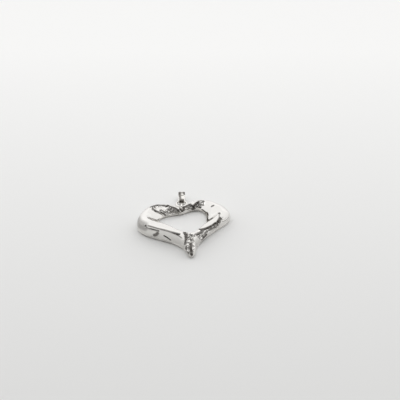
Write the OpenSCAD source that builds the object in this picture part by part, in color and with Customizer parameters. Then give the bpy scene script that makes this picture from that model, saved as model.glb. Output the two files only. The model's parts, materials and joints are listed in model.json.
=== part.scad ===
// Free-form open heart pendant in polished silver, lying on its back.
// It is hollow: a deep formed front shell and a shallow back shell meet at a seam,
// an eye on a short peg stands out of the notch, and a round jump ring joins
// that eye to a cast bail that slides on a chain.
// +X is to the right, +Y runs from the heart towards the bail, +Z is up.

/* [Heart] */
// Height of the seam between the two shells above the back face
seam_h = 0.9; // [0.7:0.1:1.0]
// Thickness of the silver sheet that the shells are formed from
sheet_t = 0.5; // [0.3:0.1:0.5]
// How far the back shell's edge rounds under before its flat face starts
back_round = 0.6; // [0.4:0.1:0.7]

/* [Eyelet] */
// Distance from the notch's outer wall to the middle of the eye
eye_reach = 1.2; // [1.2:0.1:1.6]
// Height of the eye's middle above the back face
eye_h = 1.1; // [1.1:0.1:1.3]
// Radius of the hole through the eye
eye_hole_r = 0.45; // [0.42:0.01:0.5]
// Thickness of the eye's wire
eye_wire = 0.6; // [0.5:0.05:0.6]
// Thickness of the peg that carries the eye
peg_wire = 0.8; // [0.6:0.1:0.9]

/* [Jump ring] */
// Outside diameter of the jump ring
ring_d = 3.8; // [3.8:0.1:4.4]
// Thickness of the jump ring's wire
ring_wire = 0.6; // [0.5:0.05:0.6]

/* [Bail] */
// Radius of the round bore that the chain runs through
chain_r = 0.95; // [0.9:0.05:1.1]
// Distance from the jump ring's wire to the middle of the chain bore
bail_reach = 2.45; // [2.4:0.05:3]
// Width of the bail's band at the chain
bail_w = 2.05; // [1.95:0.05:2.4]
// Width of the band at the jump ring
bail_foot_w = 1.5; // [1.4:0.05:1.6]
// Gap between the jump ring's wire and the slot that it turns in
slot_gap = 0.08; // [0.06:0.01:0.1]
// Thickness of the bail's band
bail_t = 0.4; // [0.35:0.05:0.5]
// Width of the groove along the middle of the band
groove_w = 1.0; // [0.6:0.1:1.1]
// Depth of that groove
groove_d = 0.12; // [0.05:0.01:0.15]

/* [Hidden] */
silver = [0.86, 0.86, 0.84];
$fn = 64;

// The heart's ring, clockwise from the notch. Each station gives the outer wall's
// foot, the opening's foot, the height, how far across from the outside the crest
// lies, and how square the outer and the inner shoulders are.
STATIONS = [
    [[-0.9, 10.5], [-0.4, 8.6], 2.1, 0.50, 2.0, 2.0],
    [[1.8, 12.8], [2.2, 10.2], 2.5, 0.45, 2.2, 2.0],
    [[5.2, 14.0], [4.8, 10.4], 2.9, 0.45, 2.4, 1.5],
    [[9.2, 12.8], [6.5, 8.2], 3.1, 0.42, 2.6, 1.3],
    [[12.4, 10.0], [6.8, 5.2], 3.4, 0.45, 2.8, 1.2],
    [[14.2, 6.6], [6.6, 2.3], 3.6, 0.48, 2.6, 1.2],
    [[13.2, 3.6], [6.1, 0.0], 3.8, 0.58, 2.2, 1.6],
    [[10.2, 0.2], [5.2, -1.9], 3.8, 0.65, 1.9, 2.6],
    [[7.6, -3.0], [4.2, -3.6], 3.8, 0.65, 1.9, 3.0],
    [[5.4, -6.0], [3.1, -5.0], 3.9, 0.65, 1.9, 3.0],
    [[4.0, -9.2], [2.2, -5.6], 4.2, 0.70, 1.9, 3.0],
    [[3.5, -12.4], [1.8, -5.9], 4.3, 0.80, 1.6, 3.0],
    [[2.2, -14.0], [1.4, -6.0], 4.4, 0.80, 1.6, 3.0],
    [[1.0, -12.0], [1.0, -5.9], 4.4, 0.80, 1.9, 3.0],
    [[-0.4, -9.6], [0.4, -5.6], 4.5, 0.60, 2.8, 3.0],
    [[-3.5, -7.0], [-1.6, -4.5], 4.6, 0.50, 5.0, 3.0],
    [[-7.6, -5.0], [-4.4, -1.8], 4.6, 0.50, 6.0, 3.0],
    [[-11.5, -3.0], [-6.7, 0.5], 4.5, 0.50, 5.5, 1.6],
    [[-14.1, 0.0], [-8.1, 3.0], 4.2, 0.46, 3.8, 1.2],
    [[-14.0, 4.8], [-7.6, 5.2], 3.7, 0.42, 2.8, 1.2],
    [[-11.6, 9.2], [-6.2, 6.8], 3.3, 0.40, 2.6, 1.4],
    [[-7.6, 11.5], [-4.1, 7.6], 2.8, 0.35, 2.4, 1.7],
    [[-3.8, 11.4], [-2.0, 8.2], 2.4, 0.40, 2.2, 1.9]
];
SLICES = 3;
ARCH_STEPS = 10;
EDGE_STEPS = 3;
ARC_STEPS = 20;

function spline(a, b, c, d, t) =
    (2 * b + (c - a) * t + (2 * a - 5 * b + 4 * c - d) * t * t
     + (3 * b - a - 3 * c + d) * t * t * t) / 2;

function station(i) = STATIONS[(i + len(STATIONS)) % len(STATIONS)];

function between(i, t) = [
    for (k = [0 : len(STATIONS[0]) - 1])
        spline(station(i - 1)[k], station(i)[k], station(i + 1)[k], station(i + 2)[k], t)
];

SECTIONS = [for (i = [0 : len(STATIONS) - 1], s = [0 : SLICES - 1]) between(i, s / SLICES)];

// The same section with both walls and the crest moved in by the sheet's thickness.
function inside(sec) =
    let (across = (sec[1] - sec[0]) / norm(sec[1] - sec[0]))
    [sec[0] + across * sheet_t, sec[1] - across * sheet_t, sec[2] - sheet_t,
     sec[3], sec[4], sec[5]];

// One point of a section's arch: turn 0 is the outer wall, 90 the crest, 180 the inner.
function arch_point(sec, turn) =
    let (
        crest = sec[0] + (sec[1] - sec[0]) * sec[3],
        wall = turn <= 90 ? sec[0] : sec[1],
        square = 2 / (turn <= 90 ? sec[4] : sec[5]),
        flat = crest + (wall - crest) * pow(abs(cos(turn)), square)
    )
    [flat.x, flat.y, seam_h + (sec[2] - seam_h) * pow(sin(turn), square)];

function arch(sec) = [for (k = [0 : ARCH_STEPS]) arch_point(sec, 180 * k / ARCH_STEPS)];

// The tray below the seam: down the outer edge, across the face, up the inner edge.
function tray(sec, round_in, face_z) =
    let (across = (sec[1] - sec[0]) / norm(sec[1] - sec[0]))
    [for (side = [0, 1], k = [0 : EDGE_STEPS])
        let (
            turn = 90 * (side == 0 ? k : EDGE_STEPS - k) / EDGE_STEPS,
            foot = sec[side] + (side == 0 ? 1 : -1) * across * round_in * (1 - cos(turn))
        )
        [foot.x, foot.y, seam_h - (seam_h - face_z) * sin(turn)]];

function reversed(list) = [for (k = [len(list) - 1 : -1 : 0]) list[k]];

// Joins closed outlines, one after another and the last to the first, into one solid.
module ring_of(outlines) {
    around = len(outlines);
    n = len(outlines[0]);
    polyhedron(
        points = [for (outline = outlines, p = outline) p],
        faces = [
            for (i = [0 : around - 1], k = [0 : n - 1], half = [0, 1])
                let (
                    a = i * n + k,
                    b = i * n + (k + 1) % n,
                    c = ((i + 1) % around) * n + (k + 1) % n,
                    d = ((i + 1) % around) * n + k
                )
                half == 0 ? [a, b, c] : [a, c, d]
        ],
        convexity = 6
    );
}

// Places along the line from the notch to the bail.
notch = STATIONS[0][0];
eye_r = eye_hole_r + eye_wire / 2;
eye_y = notch.y + eye_reach;
ring_r = (ring_d - ring_wire) / 2;
near_y = eye_y + (eye_hole_r - ring_wire / 2) / 3;
ring_hole_r = ring_r - ring_wire / 2;
wire_depth = ring_r - sqrt(ring_hole_r * ring_hole_r - bail_foot_w * bail_foot_w / 4);
slot_r = wire_depth + slot_gap;
foot_r = slot_r + bail_t;
head_r = chain_r + bail_t;
ring_tilt = asin((foot_r - eye_h) / (2 * ring_r));
far_y = near_y + 2 * ring_r * cos(ring_tilt);
bail_tilt = asin((head_r - foot_r) / bail_reach);
bail_end_y = far_y + bail_reach * cos(bail_tilt) + head_r;

// The origin lies under the middle of the whole pendant.
walls_x = [for (sec = SECTIONS) sec[0].x];
walls_y = [for (sec = SECTIONS) sec[0].y];
middle = [(min(walls_x) + max(walls_x)) / 2, (min(walls_y) + bail_end_y) / 2, 0];

module placed() translate(-middle) children();

module heart_front_shell() {
    color(silver) placed()
        ring_of([for (sec = SECTIONS) concat(reversed(arch(sec)), arch(inside(sec)))]);
}

module heart_back_shell() {
    color(silver) placed()
        ring_of([for (sec = SECTIONS)
            concat(tray(sec, back_round, 0),
                   reversed(tray(inside(sec), back_round / 2, sheet_t)))]);
}

// A round wire bent into a closed ring about the X axis.
module wire_eye(r, wire) {
    rotate([0, 90, 0])
        rotate_extrude()
            translate([r, 0])
                circle(d = wire);
}

module eyelet() {
    color(silver) placed()
        translate([notch.x, eye_y, eye_h]) {
            wire_eye(eye_r, eye_wire);
            translate([0, -eye_r, 0])
                rotate([90, 0, 0])
                    cylinder(d = peg_wire, h = eye_reach - eye_r + sheet_t);
        }
}

module jump_ring() {
    color(silver) placed()
        translate([notch.x, near_y, eye_h])
            rotate([ring_tilt, 0, 0])
                translate([0, ring_r, 0])
                    rotate_extrude()
                        translate([ring_r, 0])
                            circle(d = ring_wire);
}

function arc(centre, r, from, to) = [
    for (k = [0 : ARC_STEPS]) let (turn = from + (to - from) * k / ARC_STEPS)
        centre + r * [cos(turn), sin(turn)]
];

// Outline of a drop: a small circle at the start and a large one at its head.
module drop(small_r, large_r, reach) {
    lean = asin((large_r - small_r) / reach);
    polygon(concat(arc([0, 0], small_r, 90 + lean, 270 - lean),
                   arc([reach, 0], large_r, -90 - lean, 90 + lean)));
}

// The slot that runs from the jump ring's wire into the chain's bore.
module wire_slot() {
    polygon(concat(arc([0, 0], slot_r, 90, 270),
                   [[bail_reach, -slot_r], [bail_reach, slot_r]]));
}

// An outline in the bail's side view, given a thickness that is centred on X = 0.
module across_band(width) {
    rotate([90, 0, 90])
        linear_extrude(height = width, center = true)
            children();
}

// The band's plan: its foot stays narrow past the wire, then it widens to the bore.
module band_plan() {
    rows = [[-2 * foot_r, bail_foot_w], [slot_r, bail_foot_w],
            [bail_reach - chain_r, bail_w], [bail_reach + 2 * head_r, bail_w]];
    translate([0, 0, -2 * head_r])
        linear_extrude(height = 4 * head_r)
            polygon(concat([for (row = rows) [row[1] / 2, row[0]]],
                           [for (row = reversed(rows)) [-row[1] / 2, row[0]]]));
}

module bail() {
    color(silver) placed()
        translate([notch.x, far_y, foot_r])
            rotate([bail_tilt, 0, 0])
                difference() {
                    intersection() {
                        across_band(bail_w) drop(foot_r, head_r, bail_reach);
                        band_plan();
                    }
                    across_band(groove_w)
                        difference() {
                            drop(2 * foot_r, 2 * head_r, bail_reach);
                            drop(foot_r - groove_d, head_r - groove_d, bail_reach);
                        }
                    across_band(2 * bail_w) wire_slot();
                    translate([0, bail_reach, 0])
                        rotate([0, 90, 0])
                            cylinder(r = chain_r, h = 2 * bail_w, center = true);
                }
}

heart_front_shell();
heart_back_shell();
eyelet();
jump_ring();
bail();
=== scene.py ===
import json
import math

import bpy
import numpy as np
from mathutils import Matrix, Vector, noise


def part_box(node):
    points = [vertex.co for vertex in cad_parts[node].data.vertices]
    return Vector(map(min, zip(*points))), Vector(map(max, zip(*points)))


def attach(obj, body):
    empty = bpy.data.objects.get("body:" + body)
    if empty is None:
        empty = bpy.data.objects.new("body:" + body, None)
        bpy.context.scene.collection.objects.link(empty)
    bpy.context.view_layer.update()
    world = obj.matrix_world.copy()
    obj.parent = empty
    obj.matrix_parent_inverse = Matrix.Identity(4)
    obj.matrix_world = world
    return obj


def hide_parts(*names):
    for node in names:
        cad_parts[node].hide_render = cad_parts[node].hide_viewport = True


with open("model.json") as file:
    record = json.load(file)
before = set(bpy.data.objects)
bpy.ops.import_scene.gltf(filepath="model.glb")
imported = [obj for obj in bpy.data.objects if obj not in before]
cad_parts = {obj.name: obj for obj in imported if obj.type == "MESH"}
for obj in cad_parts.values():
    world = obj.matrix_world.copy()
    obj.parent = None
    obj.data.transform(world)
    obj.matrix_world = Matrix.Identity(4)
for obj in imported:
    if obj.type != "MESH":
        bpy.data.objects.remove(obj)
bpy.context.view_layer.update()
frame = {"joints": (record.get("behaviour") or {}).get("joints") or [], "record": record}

# A free-form open heart pendant in mirror-polished sterling silver, lying on its back.
# Shapes are worked out in millimetres in the heart's own drawing, then moved to the frame.
MM = 0.001

# The heart's ring, clockwise from the notch. Each station gives the outer wall's foot,
# the opening's foot, the height, how far across from the outside the crest lies, and how
# square the outer and the inner shoulders are.
STATIONS = [
    [[-0.9, 10.5], [-0.4, 8.6], 2.1, 0.50, 2.0, 2.0],
    [[1.8, 12.8], [2.2, 10.2], 2.5, 0.45, 2.2, 2.0],
    [[5.2, 14.0], [4.8, 10.4], 2.9, 0.45, 2.4, 1.5],
    [[9.2, 12.8], [6.5, 8.2], 3.1, 0.42, 2.6, 1.3],
    [[12.4, 10.0], [6.8, 5.2], 3.4, 0.45, 2.8, 1.2],
    [[14.2, 6.6], [6.6, 2.3], 3.6, 0.48, 2.6, 1.2],
    [[13.2, 3.6], [6.1, 0.0], 3.8, 0.58, 2.2, 1.6],
    [[10.2, 0.2], [5.2, -1.9], 3.8, 0.65, 1.9, 2.6],
    [[7.6, -3.0], [4.2, -3.6], 3.8, 0.65, 1.9, 3.0],
    [[5.4, -6.0], [3.1, -5.0], 3.9, 0.65, 1.9, 3.0],
    [[4.0, -9.2], [2.2, -5.6], 4.2, 0.70, 1.9, 3.0],
    [[3.5, -12.4], [1.8, -5.9], 4.3, 0.80, 1.6, 3.0],
    [[2.2, -14.0], [1.4, -6.0], 4.4, 0.80, 1.6, 3.0],
    [[1.0, -12.0], [1.0, -5.9], 4.4, 0.80, 1.9, 3.0],
    [[-0.4, -9.6], [0.4, -5.6], 4.5, 0.60, 2.8, 3.0],
    [[-3.5, -7.0], [-1.6, -4.5], 4.6, 0.50, 5.0, 3.0],
    [[-7.6, -5.0], [-4.4, -1.8], 4.6, 0.50, 6.0, 3.0],
    [[-11.5, -3.0], [-6.7, 0.5], 4.5, 0.50, 5.5, 1.6],
    [[-14.1, 0.0], [-8.1, 3.0], 4.2, 0.46, 3.8, 1.2],
    [[-14.0, 4.8], [-7.6, 5.2], 3.7, 0.42, 2.8, 1.2],
    [[-11.6, 9.2], [-6.2, 6.8], 3.3, 0.40, 2.6, 1.4],
    [[-7.6, 11.5], [-4.1, 7.6], 2.8, 0.35, 2.4, 1.7],
    [[-3.8, 11.4], [-2.0, 8.2], 2.4, 0.40, 2.2, 1.9],
]
LOOP = len(STATIONS)
# The sheet's thickness, the height of the seam, and the rounding of the back's edges.
SHEET = 0.5
SEAM = 0.9
BACK_ROUND = 0.6
# The hollow under the worked outside lies deeper, so that no crease comes through.
HOLLOW = 0.8
# Name of the mesh attribute that says where the silver's colour is darkened: painted shade and
# painted dark reflection in its crinkles' valleys and along its strokes.
DARK = "painted_recess_shade"

# ---------------------------------------------------------------- the heart's surface


def sections_at(places):
    """The station values at places round the loop, where station k is place k."""
    rows = np.array([[*row[0], *row[1], *row[2:]] for row in STATIONS])
    k = np.floor(places).astype(int)
    t = (places - k)[:, None]
    a, b, c, d = (rows[(k + step) % LOOP] for step in (-1, 0, 1, 2))
    return (2 * b + (c - a) * t + (2 * a - 5 * b + 4 * c - d) * t ** 2
            + (3 * b - a - 3 * c + d) * t ** 3) / 2


def moved_in(sections, amount):
    """The same sections with both walls and the crest moved in by that much."""
    inner = sections.copy()
    across = sections[:, 2:4] - sections[:, 0:2]
    across /= np.linalg.norm(across, axis=1)[:, None]
    inner[:, 0:2] += across * amount
    inner[:, 2:4] -= across * amount
    inner[:, 4] -= amount
    return inner


def arches(sections, turns):
    """Points over each section's arch. Turn 0 is the outer wall's foot, 1 the inner's."""
    outer, inner = sections[:, 0:2], sections[:, 2:4]
    height, crest = sections[:, 4], sections[:, 5]
    top = outer + (inner - outer) * crest[:, None]
    near = turns[None, :] <= 0.5
    square = 2 / np.where(near, sections[:, 6:7], sections[:, 7:8])
    reach = np.abs(np.cos(np.pi * turns))[None, :] ** square
    rise = np.clip(np.sin(np.pi * turns), 0, 1)[None, :] ** square
    wall = np.where(near[..., None], outer[:, None, :], inner[:, None, :])
    flat = top[:, None, :] + (wall - top[:, None, :]) * reach[..., None]
    lift = SEAM + (height[:, None] - SEAM) * rise
    return np.concatenate([flat, lift[..., None]], axis=2)


def evenly(lines, turns, count):
    """Each line resampled to evenly spaced points, with the turn at each of them."""
    points = np.empty((len(lines), count, 3))
    at = np.empty((len(lines), count))
    for k, line in enumerate(lines):
        run = np.concatenate([[0], np.cumsum(np.linalg.norm(np.diff(line, axis=0), axis=1))])
        want = np.linspace(0, run[-1], count)
        for axis in range(3):
            points[k, :, axis] = np.interp(want, run, line[:, axis])
        at[k] = np.interp(want, run, turns)
    return points, at


def normals_of(points):
    """Outward unit normals of a grid that closes round its first axis."""
    along = np.roll(points, -1, axis=0) - np.roll(points, 1, axis=0)
    across = np.gradient(points, axis=1)
    out = np.cross(along, across)
    return out / np.maximum(np.linalg.norm(out, axis=2), 1e-9)[..., None]


def smooth(x, start, end):
    """0 before start and 1 after end, with a smooth rise between."""
    t = np.clip((x - start) / (end - start), 0, 1)
    return t * t * (3 - 2 * t)


def each_point(points, chosen, measure):
    """measure(point) at the chosen points of a grid, and 0 at the others."""
    values = np.zeros(chosen.shape)
    for k in zip(*np.nonzero(chosen)):
        values[k] = measure(Vector(points[k]))
    return values


# Places where the silver was left crinkled. Each has a start place round the loop, then
# rows of (place after the start, turn where it begins, turn where it ends), then the
# crinkles' size and depth in millimetres, and how much painted shade their valleys get.
CRINKLES = {
    "left lobe's inner slope": (19.5, [(0.0, 0.60, 0.74), (0.4, 0.47, 0.80), (1.2, 0.48, 0.90),
                                       (2.1, 0.56, 0.92), (2.8, 0.72, 0.97), (3.3, 0.80, 0.97)],
                                1.1, 0.42, 1.0),
    "notch and right lobe": (22.6, [(0.0, 0.60, 0.82), (0.5, 0.46, 0.76), (1.2, 0.52, 0.74),
                                    (1.6, 0.60, 0.98), (2.2, 0.55, 0.84), (2.8, 0.49, 0.72)],
                             1.1, 0.36, 0.75),
    "right arm's outer shoulder": (5.9, [(0.0, 0.30, 0.34), (0.8, 0.12, 0.30),
                                         (1.8, 0.12, 0.30), (2.5, 0.14, 0.36),
                                         (3.2, 0.03, 0.40), (3.8, 0.28, 0.42)], 1.2, 0.45, 0.9),
    "tip": (9.6, [(0.0, 0.34, 0.42), (0.9, 0.30, 0.48), (1.7, 0.12, 0.50), (2.4, 0.02, 0.50),
                  (3.4, 0.03, 0.50), (3.9, 0.20, 0.52), (4.3, 0.40, 0.50)], 0.85, 0.40, 0.75),
}
# How much of a turn the crinkles take to fade out at the edge of their place.
CRINKLE_EDGE = 0.06

# Single marks as strokes of (place, turn), then a width and a depth in millimetres and
# how much painted shade they get. A negative depth stands up as a ridge.
STROKES = [
    # Left lobe: a hollow with a raised island in it, and a bright fold at its foot.
    ([(19.8, 0.46), (20.5, 0.47), (21.3, 0.57), (22.0, 0.72), (22.3, 0.90)], 0.40, 0.35, 1.0),
    ([(19.75, 0.56), (19.6, 0.66), (19.8, 0.76), (20.1, 0.85), (20.25, 0.96)], 0.36, 0.32, 0.9),
    ([(21.0, 0.72), (21.5, 0.78), (22.0, 0.86)], 0.60, 0.25, 0.7),
    ([(20.9, 0.88), (21.3, 0.84), (21.9, 0.90), (22.4, 0.96)], 0.30, 0.30, 0.9),
    ([(20.15, 0.62), (20.45, 0.65), (20.85, 0.67)], 0.60, -0.18, 0.0),
    ([(20.55, 0.99), (21.0, 0.95), (21.5, 0.90), (22.3, 0.99)], 0.36, -0.22, 0.0),
    # Notch and right lobe.
    ([(22.6, 0.64), (22.9, 0.81), (23.2, 0.74), (23.1, 0.50)], 0.35, 0.30, 1.0),
    ([(23.1, 0.48), (23.5, 0.56), (23.9, 0.62), (24.2, 0.78)], 0.38, 0.30, 0.9),
    ([(24.1, 0.97), (24.3, 0.90), (24.2, 0.78), (24.5, 0.69), (24.8, 0.61)], 0.45, 0.40, 1.0),
    ([(24.8, 0.60), (25.0, 0.53), (25.3, 0.50), (25.4, 0.58), (25.4, 0.70), (25.0, 0.76),
      (24.8, 0.70)], 0.22, 0.20, 0.8),
    ([(3.45, 0.62), (3.52, 0.56)], 0.42, 0.20, 1.0),
    # Right arm.
    ([(5.05, 0.49), (5.25, 0.48)], 0.42, 0.22, 1.0),
    ([(5.3, 0.47), (5.8, 0.42), (6.3, 0.32)], 0.22, 0.14, 0.7),
    ([(6.2, 0.32), (6.5, 0.28), (6.8, 0.22), (6.9, 0.15)], 0.55, 0.35, 1.0),
    ([(6.9, 0.26), (7.3, 0.25), (7.6, 0.28), (8.0, 0.31), (8.3, 0.35), (8.6, 0.42)],
     0.42, 0.30, 1.0),
    ([(7.1, 0.12), (7.4, 0.16), (7.8, 0.17), (8.1, 0.19), (8.5, 0.20)], 0.36, 0.30, 0.8),
    ([(8.4, 0.10), (8.8, 0.07), (9.0, 0.02)], 0.52, 0.32, 1.0),
    ([(5.6, 0.12), (6.1, 0.11), (6.4, 0.14)], 0.16, 0.12, 0.6),
    # Tip.
    ([(13.9, 0.49), (13.3, 0.42), (13.2, 0.31)], 0.55, 0.50, 1.0),
    ([(13.2, 0.31), (13.4, 0.23), (13.5, 0.16)], 0.30, 0.35, 0.9),
    ([(13.0, 0.17), (13.2, 0.08), (12.8, 0.05), (12.5, 0.02)], 0.30, 0.30, 0.8),
    ([(11.9, 0.27), (11.9, 0.18), (11.9, 0.10), (11.8, 0.05)], 0.42, 0.45, 1.0),
    ([(11.6, 0.46), (10.9, 0.42)], 0.30, 0.30, 0.9),
    ([(11.5, 0.35), (10.9, 0.33)], 0.30, 0.30, 0.9),
    ([(9.6, 0.34), (9.1, 0.31), (8.6, 0.29)], 0.40, 0.35, 0.9),
    # Left arm's outer wall: painted shade and a duller gloss at its left end and a little near
    # the tip, with three long folds, spots, a patch and a crease.
    ([(18.4, 0.14), (17.8, 0.16), (17.2, 0.15)], 1.7, 0.0, 0.55),
    ([(14.4, 0.20), (14.0, 0.22)], 1.5, 0.0, 0.10),
    ([(16.9, 0.29), (16.1, 0.29), (15.6, 0.33), (15.1, 0.34), (14.4, 0.42)], 0.24, 0.18, 0.7),
    ([(15.9, 0.27), (15.3, 0.28), (14.7, 0.27)], 0.17, 0.12, 0.6),
    ([(17.0, 0.13), (16.5, 0.12), (16.0, 0.12)], 0.18, 0.14, 0.5),
    ([(17.30, 0.30), (17.20, 0.26), (17.1, 0.28)], 0.28, 0.16, 0.55),
    ([(17.15, 0.17), (17.0, 0.13)], 0.32, 0.16, 0.55),
    ([(16.3, 0.005), (16.15, 0.02), (16.05, 0.05)], 0.60, 0.24, 0.9),
    ([(16.8, 0.03), (16.6, 0.04)], 0.30, -0.12, 0.0),
    ([(15.60, 0.03), (15.38, 0.015), (15.12, 0.004)], 0.20, 0.18, 1.0),
]
# The furthest that any of it moves the silver in or out, in millimetres.
DEEPEST = 0.55

# The smooth silver isn't quite even: low waves of two sizes, in millimetres.
WAVE_HEIGHT = 0.06
LONG_WAVE, SHORT_WAVE = 5.0, 2.6
# Crinkles stand in and out round this level of a facet. Facets below the first of the next
# two levels get the full painted shade, and those above the second get none.
FACET_LEVEL = 0.55
DARK_BELOW, BRIGHT_ABOVE = 0.26, 0.60


def crinkle(point, size):
    """Height of crinkled silver, 0 in its sharp valleys and about 1 on its rounded facets."""
    coarse = abs(noise.noise(point / size))
    middling = abs(noise.noise(point / (size * 0.5) + Vector((7, 3, 5))))
    fine = noise.noise(point / (size * 0.2) + Vector((2, 9, 4)))
    return 1.6 * coarse + 0.9 * middling + 0.12 * fine


def gap_to(points, path):
    """Distance of every point of a grid from a path, in millimetres."""
    gap = np.full(points.shape[:2], 1e9)
    for start, end in zip(path, path[1:]):
        along = end - start
        share = np.clip((points - start) @ along / (along @ along), 0, 1)
        gap = np.minimum(gap, np.linalg.norm(points - start - share[..., None] * along, axis=2))
    return gap


def on_skin(points, turns, place, turn):
    """The grid point at a place round the loop and a turn over the arch."""
    row = int(round(place / LOOP * len(points))) % len(points)
    return points[row, np.argmin(np.abs(turns[row] - turn))]


def front_skin(around, over):
    """The front shell's outside, and how much painted shade each point of it gets, from 0 to 1.
    """
    places = np.arange(around) * LOOP / around
    dense = np.linspace(0, 1, 400)
    points, turns = evenly(arches(sections_at(places), dense), dense, over)
    out = normals_of(points)
    # Both feet stay true to the seam.
    hold = smooth(points[..., 2], SEAM + 0.05, SEAM + 0.35)

    height = WAVE_HEIGHT * each_point(
        points, hold > 0, lambda p: noise.noise(p / LONG_WAVE)
        + 0.5 * noise.noise(p / SHORT_WAVE + Vector((4, 1, 8))))
    dark = np.zeros(height.shape)
    for start, rows, size, depth, darkness in CRINKLES.values():
        along = (places - start) % LOOP
        begin = np.interp(along, [r[0] for r in rows], [r[1] for r in rows])[:, None]
        end = np.interp(along, [r[0] for r in rows], [r[2] for r in rows])[:, None]
        within = (smooth(turns, begin - CRINKLE_EDGE / 2, begin + CRINKLE_EDGE / 2)
                  * (1 - smooth(turns, end - CRINKLE_EDGE / 2, end + CRINKLE_EDGE / 2))
                  * (1 - smooth(along, rows[-1][0] - 0.1, rows[-1][0] + 0.1))[:, None])
        facets = each_point(points, within > 0.001, lambda p: crinkle(p, size))
        height += within * depth * (facets - FACET_LEVEL)
        # Low facets in the crinkles' valleys get painted shade and painted dark reflection.
        painted_valley_shade = 1 - smooth(facets, DARK_BELOW, BRIGHT_ABOVE)
        dark = np.maximum(dark, darkness * within * painted_valley_shade)
    # Each stroke also paints shade along its path.
    for stroke, width, depth, darkness in STROKES:
        path = [on_skin(points, turns, *mark) for mark in stroke]
        near = np.exp(-(gap_to(points, path) / width) ** 2)
        if depth < 0:
            height *= 1 - near
            dark *= 1 - near
        height -= depth * near
        dark = np.maximum(dark, darkness * smooth(near, 0.25, 0.75))
    return points + out * (np.clip(height, -DEEPEST, DEEPEST) * hold)[..., None], dark


# ---------------------------------------------------------------- materials


def hex_colour(text):
    """An sRGB hex colour as linear RGBA."""
    parts = [int(text[k:k + 2], 16) / 255 for k in (1, 3, 5)]
    return [p / 12.92 if p <= 0.04045 else ((p + 0.055) / 1.055) ** 2.4 for p in parts] + [1]


def add(nodes, kind, inputs=None, **settings):
    """Adds a node with its settings, and sets or links its inputs by name or number."""
    node = nodes.new(kind)
    for name, value in settings.items():
        setattr(node, name, value)
    for key, value in (inputs or {}).items():
        if isinstance(value, bpy.types.NodeSocket):
            nodes.id_data.links.new(value, node.inputs[key])
        else:
            node.inputs[key].default_value = value
    return node


# A colour mix node's sockets: the two colours go in by number, and the mix comes out.
COLOUR_A, COLOUR_B, COLOUR_OUT = 6, 7, 2


def new_material(name):
    material = bpy.data.materials.new(name)
    material.use_nodes = True
    nodes = material.node_tree.nodes
    nodes.clear()
    return material, nodes


def silver(name, bright, shade, smears, gloss, line_gap, line_way, line_depth):
    """Bare silver. Two close tones and a gloss that drifts between two roughnesses, in
    smears of that size, with hair-fine lines left by the tool. Where the mesh says so,
    it is painted a dark grey and made rougher: painted shade and painted dark reflection."""
    material, nodes = new_material(name)
    where = add(nodes, "ShaderNodeTexCoord").outputs["Object"]
    smear = add(nodes, "ShaderNodeTexNoise", {"Vector": where, "Scale": 1 / (smears * MM),
                                              "Detail": 3.0, "Roughness": 0.55})
    tone = add(nodes, "ShaderNodeMix", {"Factor": smear.outputs["Fac"],
                                        COLOUR_A: hex_colour(bright),
                                        COLOUR_B: hex_colour(shade)}, data_type="RGBA")
    recess = add(nodes, "ShaderNodeAttribute", attribute_name=DARK).outputs["Fac"]
    grain = add(nodes, "ShaderNodeTexNoise", {"Vector": where, "Scale": 1 / (0.25 * MM),
                                              "Detail": 4.0})
    patchy = add(nodes, "ShaderNodeMath", {0: grain.outputs["Fac"], 1: 0.6, 2: 0.6},
                 operation="MULTIPLY_ADD")
    reach = add(nodes, "ShaderNodeMath", {0: recess, 1: patchy.outputs[0]},
                operation="MULTIPLY", use_clamp=True)
    # The dark grey mixed in here is painted shade and painted dark reflection, wherever the
    # mesh's attribute asks for it.
    colour = add(nodes, "ShaderNodeMix", {"Factor": reach.outputs[0],
                                          COLOUR_A: tone.outputs[COLOUR_OUT],
                                          COLOUR_B: hex_colour("#403B36")}, data_type="RGBA")
    polished = add(nodes, "ShaderNodeMapRange", {"Value": smear.outputs["Fac"],
                                                 "From Min": 0.35, "From Max": 0.7,
                                                 "To Min": gloss[0], "To Max": gloss[1]})
    rough = add(nodes, "ShaderNodeMath", {0: reach.outputs[0], 1: 0.28,
                                          2: polished.outputs[0]}, operation="MULTIPLY_ADD")
    lines = add(nodes, "ShaderNodeMapping", {"Vector": where, "Scale": line_way})
    hair = add(nodes, "ShaderNodeTexNoise", {"Vector": lines.outputs[0],
                                             "Scale": 1 / (line_gap * MM), "Detail": 2.0})
    bump = add(nodes, "ShaderNodeBump", {"Height": hair.outputs["Fac"], "Strength": 0.15,
                                         "Distance": line_depth * MM})
    shader = add(nodes, "ShaderNodeBsdfPrincipled",
                 {"Base Color": colour.outputs[COLOUR_OUT], "Metallic": 1.0,
                  "Roughness": rough.outputs[0], "Normal": bump.outputs[0]})
    add(nodes, "ShaderNodeOutputMaterial", {"Surface": shader.outputs[0]})
    return material


# Sterling silver sheet, formed, soldered and buffed on a wheel: a clean, slightly warm
# mirror with soft smears. The buffing lines are drawn coarser than real ones, to show.
polished_sheet = silver("buffed_sterling_silver", "#E8E6E3", "#E0DEDA", smears=3.0,
                        gloss=(0.03, 0.08), line_gap=0.12, line_way=(1, 0.08, 0.3),
                        line_depth=0.01)
# The shallow back shell, which only gets a satin finish: softer, with longer lines.
satin_sheet = silver("satin_sterling_silver", "#ECEAE7", "#DFDCD7", smears=2.0,
                     gloss=(0.12, 0.2), line_gap=0.15, line_way=(0.06, 1, 1),
                     line_depth=0.02)
# Drawn silver wire, tumbled bright: fine lines from the draw plate.
drawn_wire = silver("drawn_silver_wire", "#EFEDEA", "#E2DFDA", smears=0.8,
                    gloss=(0.05, 0.12), line_gap=0.08, line_way=(1, 1, 0.15),
                    line_depth=0.008)
# Cast silver, tumbled bright: a trace of orange-peel from the mould.
cast_silver = silver("cast_sterling_silver", "#F1EFEB", "#E4E1DC", smears=0.6,
                     gloss=(0.05, 0.12), line_gap=0.2, line_way=(1, 1, 1),
                     line_depth=0.02)

# ---------------------------------------------------------------- meshes

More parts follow.
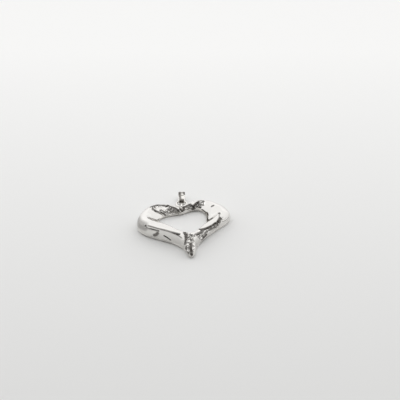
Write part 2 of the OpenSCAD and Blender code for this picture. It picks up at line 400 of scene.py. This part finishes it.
# MIDDLE is where the frame's origin lies in the heart's own drawing.
front_low, front_high = (np.array(corner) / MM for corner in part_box("heart_front_shell"))
outline = sections_at(np.arange(0, LOOP, 1 / 3))[:, 0:2]
MIDDLE = np.array([*((outline.min(axis=0) + outline.max(axis=0)) / 2
                     - (front_low + front_high)[:2] / 2), 0])


def looped(grid, dark=0):
    """Points, faces and darkness of a grid that closes both ways, outside outwards."""
    rows, columns = grid.shape[:2]
    faces = []
    for i in range(rows):
        j = (i + 1) % rows
        for k in range(columns):
            m = (k + 1) % columns
            faces.append((i * columns + k, j * columns + k, j * columns + m, i * columns + m))
    return grid.reshape(-1, 3), faces, np.broadcast_to(dark, (rows, columns)).ravel()


def capped(grid):
    """Points, faces and darkness of a tube of rows, closed by a fan at each end."""
    rows, sides = grid.shape[:2]
    faces = [(i * sides + k, i * sides + (k + 1) % sides, (i + 1) * sides + (k + 1) % sides,
              (i + 1) * sides + k) for i in range(rows - 1) for k in range(sides)]
    faces += [tuple(range(sides))[::-1], tuple((rows - 1) * sides + k for k in range(sides))]
    return grid.reshape(-1, 3), faces, np.zeros(rows * sides)


def piece(name, parts, body, node, material):
    """A smooth-shaded piece in the frame's millimetres that stands for a CAD node."""
    mesh = bpy.data.meshes.new(name)
    points, faces, dark = [], [], []
    for part_points, part_faces, part_dark in parts:
        faces += [[corner + len(points) for corner in face] for face in part_faces]
        points += (part_points * MM).tolist()
        dark += part_dark.tolist()
    mesh.from_pydata(points, [], faces)
    mesh.polygons.foreach_set("use_smooth", [True] * len(mesh.polygons))
    mesh.materials.append(material)
    # The attribute carries each point's painted shade to the material.
    mesh.attributes.new(DARK, "FLOAT", "POINT").data.foreach_set("value", dark)
    mesh.update()
    obj = bpy.data.objects.new(name, mesh)
    bpy.context.scene.collection.objects.link(obj)
    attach(obj, body)
    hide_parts(node)
    return obj


def heart_front():
    """The deep front shell: its worked outside, and a plain hollow under it."""
    around, over, under = LOOP * 36, 96, 10
    skin, dark = front_skin(around, over)
    hollow_sections = moved_in(sections_at(np.arange(around) * LOOP / around), HOLLOW)
    turns = np.linspace(0, 1, 200)
    hollow, _ = evenly(arches(hollow_sections, turns), turns, under)
    shell = np.concatenate([skin, hollow[:, ::-1]], axis=1) - MIDDLE
    tones = np.concatenate([dark, np.zeros((around, under))], axis=1)
    return piece("heart_front", [looped(shell, tones)], "heart", "heart_front_shell",
                 polished_sheet)


def tray(sections, round_in, face):
    """The back shell's section: down the outer edge, across, and up the inner edge."""
    across = sections[:, 2:4] - sections[:, 0:2]
    across /= np.linalg.norm(across, axis=1)[:, None]
    turn = np.linspace(0, math.pi / 2, 9)
    rows = []
    for foot, way, turns in ((sections[:, 0:2], 1, turn), (sections[:, 2:4], -1, turn[::-1])):
        for t in turns:
            flat = foot + way * across * round_in * (1 - math.cos(t))
            low = np.full((len(sections), 1), SEAM - (SEAM - face) * math.sin(t))
            rows.append(np.concatenate([flat, low], axis=1))
    return np.stack(rows, axis=1)


def heart_back():
    """The shallow back shell, with its rounded edge, and its hollow side."""
    sections = sections_at(np.arange(0, LOOP, 1 / 24))
    outside = tray(sections, BACK_ROUND, 0)
    inside = tray(moved_in(sections, SHEET), BACK_ROUND / 2, SHEET)
    shell = np.concatenate([outside, inside[:, ::-1]], axis=1)[:, ::-1] - MIDDLE
    return piece("heart_back", [looped(shell)], "heart", "heart_back_shell", satin_sheet)


def joint_place(name):
    """Where a joint's axis runs, in millimetres."""
    found = [joint for joint in frame["joints"] if joint["name"] == name]
    return np.array(found[0]["pos_m"]) / MM


def wire_loop(centre, way_a, way_b, radius, wire, swell=None, steps=96, sides=24):
    """A round wire bent into a circle in the plane of two ways, thicker where it swells."""
    upright = np.cross(way_a, way_b)
    rows = []
    for k in range(steps):
        turn = 2 * math.pi * k / steps
        outward = way_a * math.cos(turn) + way_b * math.sin(turn)
        thick = wire / 2 * (1 + (swell(turn) if swell else 0))
        rows.append([centre + outward * (radius + thick * math.cos(side))
                     + upright * thick * math.sin(side)
                     for side in np.linspace(0, 2 * math.pi, sides, endpoint=False)])
    return np.array(rows)


X, Y, Z = np.eye(3)
# WIRE is the thickness of the wire that the eye and the jump ring are bent from. The
# ring's soldered joint lies SOLDER_AT round from the cross axis, and its bulge fades out
# over about SOLDER_REACH each way, both in radians.
WIRE = 0.6
SOLDER_AT = math.radians(25)
SOLDER_REACH = 0.16
near_wire = joint_place("jump_ring_swing")
far_wire = joint_place("bail_swing")


def eyelet():
    """The eye's wire, and its peg with a fillet of solder where it enters the heart."""
    low, high = (np.array(corner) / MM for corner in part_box("eyelet"))
    eye_outside = (high[2] - low[2]) / 2
    centre = np.array([near_wire[0], high[1] - eye_outside, (low[2] + high[2]) / 2])
    eye = wire_loop(centre, Y, Z, eye_outside - WIRE / 2, WIRE)
    start, end = centre[1] - eye_outside + WIRE / 2, low[1]
    # The peg thickens into the heart, and its fillet is where it meets the heart's wall, a
    # little over half way along. Both its ends close in.
    thin, thick, fillet, fillet_reach, closed = 0.30, 0.40, 0.26, 0.16, 0.05
    wall = start - (start - end) * 0.55
    rows = []
    for share in np.linspace(0, 1, 20):
        y = start + (end - start) * share
        radius = thin + (thick - thin) * share
        radius += fillet * math.exp(-((y - wall) / fillet_reach) ** 2)
        radius *= 1 if 0 < share < 1 else closed
        rows.append([np.array([centre[0] + radius * math.cos(side), y,
                               centre[2] + radius * math.sin(side)])
                     for side in np.linspace(0, 2 * math.pi, 24, endpoint=False)])
    return piece("eyelet_wire", [looped(eye), capped(np.array(rows))], "heart", "eyelet",
                 drawn_wire)


def jump_ring():
    """The round ring between the eye and the bail, with its soldered joint on one side."""
    across = far_wire - near_wire
    radius = np.linalg.norm(across) / 2
    along = across / (2 * radius)
    bulge, groove, groove_reach = 0.07, 0.09, 0.25

    def solder(turn):
        """A low bulge with a fine groove along its middle, as shares of the wire."""
        off = (turn - SOLDER_AT) / SOLDER_REACH
        return bulge * math.exp(-off ** 2) - groove * math.exp(-(off / groove_reach) ** 2)

    ring = wire_loop((near_wire + far_wire) / 2, X, along, radius, WIRE,
                     swell=solder, steps=160)
    return piece("jump_ring_wire", [looped(ring)], "jump_ring", "jump_ring", drawn_wire)


# The bail's width where it wraps round the jump ring.
BAIL_FOOT = 1.5
# The bail's marks: strokes of (distance from the jump ring's wire, distance across)
# over its top, then a width, a depth and how much painted shade they get. They leave raised
# beads between them.
BAIL_STROKES = [
    # The far end: a hump on each side and a line between them, cut and painted in shade.
    ([(2.9, -0.65), (2.3, -0.62), (1.9, -0.70)], 0.42, 0.10, 1.0),
    ([(2.9, 0.70), (2.3, 0.72), (1.9, 0.92)], 0.34, 0.10, 1.0),
    ([(2.50, -0.50), (2.45, 0.50)], 0.24, 0.08, 0.9),
    # The left side, cut and painted in shade, and a line across, also painted in shade, that
    # parts the bright bead from the far end.
    ([(1.7, -0.55), (1.1, -0.50), (0.2, -0.48)], 0.42, 0.10, 0.9),
    ([(1.50, -0.6), (1.45, 0.5)], 0.19, 0.08, 0.85),
    ([(0.0, -0.5), (-0.1, 0.5)], 0.14, 0.05, 0.6),
    # The foot, where it wraps round the jump ring, cut and painted in shade.
    ([(-0.40, -0.7), (-0.42, 0.7)], 0.26, 0.07, 1.0),
    ([(-0.78, -0.6), (-0.80, 0.6)], 0.26, 0.05, 1.0),
]


def strokes_on_bail(place, across):
    """How deep the bail's strokes cut at a spot, and how much painted shade they put there."""
    spot = np.array([[[place, across, 0]]])
    cut = tone = 0
    for stroke, width, depth, darkness in BAIL_STROKES:
        gap = gap_to(spot, [np.array([*mark, 0]) for mark in stroke])[0, 0]
        near = math.exp(-(gap / width) ** 2)
        cut = max(cut, depth * near)
        tone = max(tone, darkness * float(smooth(near, 0.2, 0.6)))
    return cut, tone


def round_run(centre, radius, start, end, steps):
    """A round stretch of the band, as (place along, height, and the way out in both)."""
    return [(centre + radius * math.cos(turn), radius * math.sin(turn),
             math.cos(turn), math.sin(turn)) for turn in np.linspace(start, end, steps)]


def straight_run(last, centre, radius, turn):
    """The straight stretch from the band's last point to the start of the next round."""
    end = (centre + radius * math.cos(turn), radius * math.sin(turn))
    return [(last[0] + (end[0] - last[0]) * s, last[1] + (end[1] - last[1]) * s,
             last[2], last[3]) for s in np.linspace(0, 1, 14)[1:-1]]


def squared(wave, power):
    """A sine or cosine made squarer by a power below 1."""
    return math.copysign(abs(wave) ** power, wave)


def bail():
    """The cast bail: a band round the chain's bore that closes on the jump ring's wire."""
    bore = [m for m in frame["record"]["mounts"] if m["name"] == "chain_bore"][0]
    head = np.array(bore["pos_m"]) / MM
    low, high = (np.array(corner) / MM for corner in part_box("bail"))
    width = high[0] - low[0]
    bore_r = bore["dims"]["r_mm"]
    foot_r, head_r = far_wire[2] - low[2], head[2] - low[2]
    band = head_r - bore_r
    slot_r = foot_r - band
    reach = np.linalg.norm(head - far_wire)
    along = (head - far_wire) / reach
    up = np.cross(X, along)

    # The middle line of the band: round the foot, out below, round the head and back.
    lean = math.asin((head_r - foot_r) / reach)
    top, bottom = math.pi / 2 + lean, -math.pi / 2 - lean
    foot_middle, head_middle = (foot_r + slot_r) / 2, head_r - band / 2
    path = round_run(0, foot_middle, top, bottom + 2 * math.pi, 40)
    path += straight_run(path[-1], reach, head_middle, bottom)
    path += round_run(reach, head_middle, bottom, top, 70)
    path += straight_run(path[-1], 0, foot_middle, top)

    # The band's section has rounded corners. The lower its power, the squarer that way.
    across_power, lift_power = 0.45, 0.6
    rows, dark = [], []
    for place, height, out_along, out_up in path:
        widening = smooth(place, slot_r, reach - bore_r)
        half = (BAIL_FOOT + (width - BAIL_FOOT) * widening) / 2
        row, tones = [], []
        for side in np.linspace(0, 2 * math.pi, 48, endpoint=False):
            across = squared(math.cos(side), across_power) * half
            lift = squared(math.sin(side), lift_power) * band / 2
            cut = tone = 0
            if lift > 0 and height + out_up > 0:
                cut, tone = strokes_on_bail(place + out_along * lift, across)
            lift -= cut
            row.append(far_wire + X * across + along * (place + out_along * lift)
                       + up * (height + out_up * lift))
            tones.append(tone)
        rows.append(row)
        dark.append(tones)
    grid = np.array(rows)[:, ::-1]
    return piece("bail_band", [looped(grid, np.array(dark)[:, ::-1])], "bail", "bail",
                 cast_silver)


heart_front()
heart_back()
eyelet()
jump_ring()
bail()

# ---------------------------------------------------------------- stage, light, camera


def white_paper():
    """Seamless studio paper with faint fibre flecks, painted white at the back and fading to
    pale grey in front: a painted fall-off of the light from behind.
    """
    material, nodes = new_material("white_paper_with_painted_falloff")
    where = add(nodes, "ShaderNodeTexCoord").outputs["Object"]
    fibre = add(nodes, "ShaderNodeTexNoise", {"Vector": where, "Scale": 1 / (0.8 * MM),
                                              "Detail": 4.0})
    away = add(nodes, "ShaderNodeSeparateXYZ", {0: where}).outputs["Y"]
    # The grey towards the front is painted shade, standing in for the light's fall-off.
    fade = add(nodes, "ShaderNodeMapRange", {"Value": away, "From Min": -75 * MM,
                                             "From Max": 115 * MM, "To Max": 0.98})
    flecked = add(nodes, "ShaderNodeMath", {0: fibre.outputs["Fac"], 1: 0.02,
                                            2: fade.outputs[0]}, operation="MULTIPLY_ADD")
    tone = add(nodes, "ShaderNodeMix", {"Factor": flecked.outputs[0],
                                        COLOUR_A: hex_colour("#E2E2E1"),
                                        COLOUR_B: hex_colour("#FFFFFE")}, data_type="RGBA")
    shader = add(nodes, "ShaderNodeBsdfPrincipled",
                 {"Base Color": tone.outputs[COLOUR_OUT], "Roughness": 0.9})
    add(nodes, "ShaderNodeOutputMaterial", {"Surface": shader.outputs[0]})
    return material


def floor():
    half = 1.5
    mesh = bpy.data.meshes.new("floor")
    mesh.from_pydata([(-half, -half, 0), (half, -half, 0), (half, half, 0), (-half, half, 0)],
                     [], [(0, 1, 2, 3)])
    mesh.materials.append(white_paper())
    obj = bpy.data.objects.new("floor", mesh)
    # A hair below the pendant's flat back, so that the two don't share a plane.
    obj.location.z = -0.01 * MM
    bpy.context.scene.collection.objects.link(obj)


def studio_surroundings():
    """A white studio with one dark side, where the room behind the camera is."""
    # The dark side's middle is that far up, and around it are the angles where the full dark
    # ends and where it has faded out. Only a share of the way sideways counts, so that it
    # is wider than it is high.
    rise, full, faded = (math.radians(angle) for angle in (30, 22, 39))
    sideways = 0.34
    world = bpy.data.worlds.new("white_studio")
    world.use_nodes = True
    nodes = world.node_tree.nodes
    nodes.clear()
    way = add(nodes, "ShaderNodeTexCoord").outputs["Generated"]
    narrow = add(nodes, "ShaderNodeVectorMath", {0: way, 1: (sideways, 1.0, 1.0)},
                 operation="MULTIPLY")
    unit = add(nodes, "ShaderNodeVectorMath", {0: narrow.outputs[0]}, operation="NORMALIZE")
    facing = add(nodes, "ShaderNodeVectorMath",
                 {0: unit.outputs[0], 1: (0, -math.cos(rise), math.sin(rise))},
                 operation="DOT_PRODUCT")
    dark = add(nodes, "ShaderNodeMapRange",
               {"Value": facing.outputs["Value"], "From Min": math.cos(faded),
                "From Max": math.cos(full)}, interpolation_type="SMOOTHSTEP")
    rising = add(nodes, "ShaderNodeSeparateXYZ", {0: way}).outputs["Z"]
    white = add(nodes, "ShaderNodeMix", {"Factor": rising, COLOUR_A: hex_colour("#F0F0F0"),
                                         COLOUR_B: hex_colour("#FFFFFF")}, data_type="RGBA")
    tone = add(nodes, "ShaderNodeMix", {"Factor": dark.outputs[0],
                                        COLOUR_A: white.outputs[COLOUR_OUT],
                                        COLOUR_B: hex_colour("#474543")}, data_type="RGBA")
    light = add(nodes, "ShaderNodeBackground", {"Color": tone.outputs[COLOUR_OUT],
                                                "Strength": 1.16})
    add(nodes, "ShaderNodeOutputWorld", {"Surface": light.outputs[0]})
    bpy.context.scene.world = world


def softbox(name, place, wide, high, watts):
    """A soft area light that faces the heart."""
    data = bpy.data.lights.new(name, "AREA")
    data.shape = "RECTANGLE"
    data.size, data.size_y, data.energy = wide, high, watts
    obj = bpy.data.objects.new(name, data)
    obj.location = place
    obj.rotation_euler = (-obj.location).to_track_quat("-Z", "Y").to_euler()
    bpy.context.scene.collection.objects.link(obj)


floor()
studio_surroundings()
softbox("back_softbox", (-0.05, 0.50, 0.36), 0.80, 0.40, 0.03)
softbox("low_back_softbox", (0.0, 0.34, 0.12), 0.50, 0.08, 0.012)
softbox("top_softbox", (0.0, -0.05, 0.50), 0.16, 0.14, 0.12)

# The camera looks down at the paper just behind and to the right of the heart.
CAMERA_RISE = math.radians(34)
CAMERA_AWAY = 420 * MM
look_at = Vector((4.94, 14.74, 0)) * MM
camera_data = bpy.data.cameras.new("camera")
camera_data.lens = 119.8
camera_data.clip_start = 0.001
camera = bpy.data.objects.new("camera", camera_data)
camera.location = look_at + CAMERA_AWAY * Vector((0, -math.cos(CAMERA_RISE),
                                                  math.sin(CAMERA_RISE)))
camera.rotation_euler = (math.pi / 2 - CAMERA_RISE, 0, 0)
bpy.context.scene.collection.objects.link(camera)
bpy.context.scene.camera = camera
bpy.context.scene.view_settings.view_transform = "Standard"
